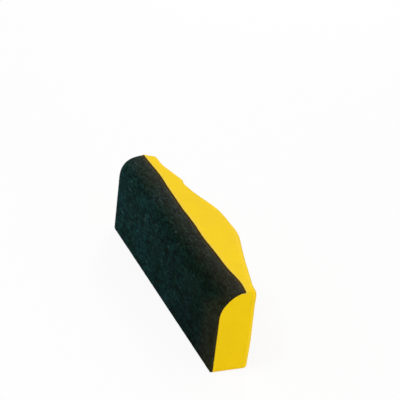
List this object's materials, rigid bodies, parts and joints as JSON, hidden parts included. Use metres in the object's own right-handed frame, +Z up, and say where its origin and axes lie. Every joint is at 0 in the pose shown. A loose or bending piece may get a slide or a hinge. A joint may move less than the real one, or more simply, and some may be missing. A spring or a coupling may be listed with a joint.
{
  "type": "sanding block",
  "caption": "Long hand sanding block: a yellow moulded foam grip with finger hollows, faced with black hook tape that wraps round a rounded long edge.",
  "frame": {"origin": "middle of the underside of the block as it stands on its square long edge", "axes": "+X along the length to the end near the thumb hollow, +Y from the facing to the grip, +Z up across the width to the rounded long edge"},
  "size_m": [0.198, 0.046, 0.062],
  "materials": {
    "grip_foam": "matte moulded skin on yellow polyurethane foam",
    "bonding_film": "matte dark glue film",
    "tape_backing": "matte black woven backing",
    "hooks": "matte black hook pile"
  },
  "bodies": {
    "root": {"grip_body": "grip_foam", "bonding_film": "bonding_film", "hook_tape_backing": "tape_backing", "hook_rows": "hooks"}
  },
  "joints": []
}
